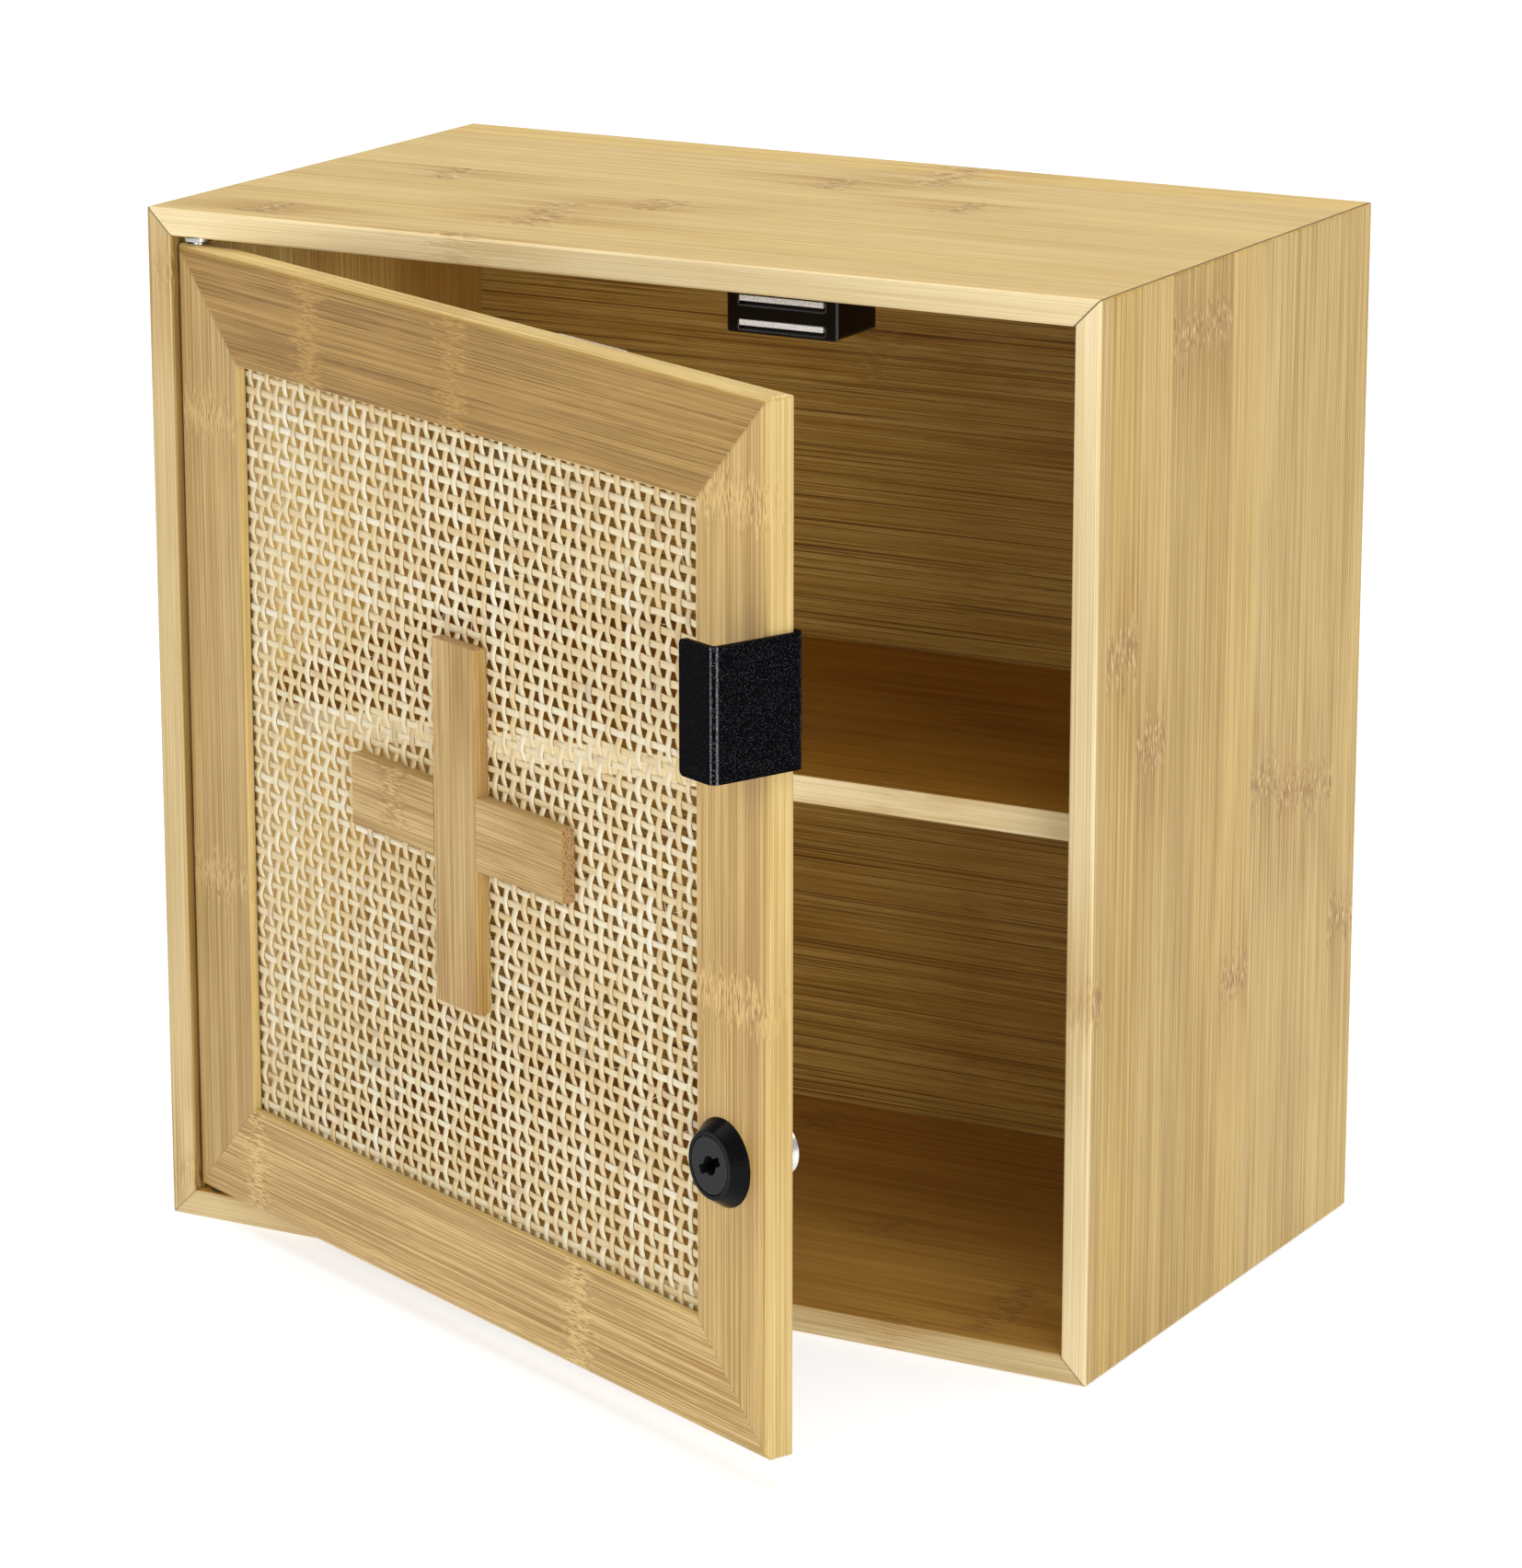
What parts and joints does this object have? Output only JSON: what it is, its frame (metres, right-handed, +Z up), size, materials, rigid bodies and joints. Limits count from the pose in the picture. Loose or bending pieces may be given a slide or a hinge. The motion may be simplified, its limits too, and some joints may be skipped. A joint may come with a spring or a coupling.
{
  "type": "medicine cabinet",
  "caption": "Box-shaped bamboo wall cabinet with an inset hinged door of open cane webbing in a mitred frame, an applied cross, a shelf, a sheet metal pull, a magnetic catch and a cam lock.",
  "frame": {"origin": "middle of the underside of the carcass", "axes": "+X to the right seen from the front, +Y from the door to the wall, +Z up"},
  "size_m": [0.3, 0.3024, 0.3],
  "materials": {
    "bamboo_board": "clear satin lacquer on pale laminated bamboo",
    "bamboo_inside": "clear satin lacquer on laminated bamboo",
    "bamboo_frame": "clear satin lacquer on strongly grained bamboo",
    "bamboo_bead": "bare sanded bamboo strip",
    "bamboo_cross": "clear satin lacquer on bamboo",
    "joinery_wood": "bare wood, glued in",
    "cane": "natural peeled cane, dull",
    "black_powder_coat": "fine texture black powder coat",
    "black_plastic": "glossy black moulding",
    "black_lock_enamel": "satin black enamel",
    "nickel": "bright nickel plate",
    "zinc_steel": "bright zinc plate",
    "ferrite": "dark sintered ferrite"
  },
  "bodies": {
    "carcass": {"top_panel": "bamboo_board", "bottom_panel": "bamboo_board", "left_side_panel": "bamboo_board", "right_side_panel": "bamboo_board", "corner_splines": "joinery_wood", "back_panel": "bamboo_inside", "shelf": "bamboo_inside", "shelf_dowels": "joinery_wood", "catch_body": "black_plastic", "catch_magnet": "ferrite", "catch_pole_plates": "zinc_steel", "catch_screws": "zinc_steel", "hinge_pins": "zinc_steel", "upper_washer": "nickel", "lower_washer": "black_plastic"},
    "door": {"door_top_rail": "bamboo_frame", "door_bottom_rail": "bamboo_frame", "door_hinge_stile": "bamboo_frame", "door_lock_stile": "bamboo_frame", "webbing_bead_top": "bamboo_bead", "webbing_bead_bottom": "bamboo_bead", "webbing_bead_left": "bamboo_bead", "webbing_bead_right": "bamboo_bead", "cross_upright": "bamboo_cross", "cross_left_arm": "bamboo_cross", "cross_right_arm": "bamboo_cross", "door_mitre_dowels": "joinery_wood", "cane_webbing": "cane", "pull_handle": "black_powder_coat", "lock_rosette": "black_lock_enamel", "lock_barrel": "nickel", "lock_nut": "nickel", "hinge_bushes": "nickel", "pull_screws": "zinc_steel", "strike_plate": "zinc_steel", "strike_screws": "zinc_steel"},
    "lock_cylinder": {"lock_plug": "black_lock_enamel", "lock_cam": "zinc_steel", "lock_cam_screw": "zinc_steel"}
  },
  "joints": [
    {"name": "door_hinge", "type": "hinge", "parent": "carcass", "child": "door", "pos_m": [-0.1352, -0.083, 0.15], "axis": [0, 0, -1], "range_deg": [-24, 86]},
    {"name": "lock_turn", "type": "hinge", "parent": "door", "child": "lock_cylinder", "pos_m": [0.09474, -0.1903, 0.086], "axis": [-0.4067, -0.9135, 0], "range_deg": [0, 90]}
  ]
}
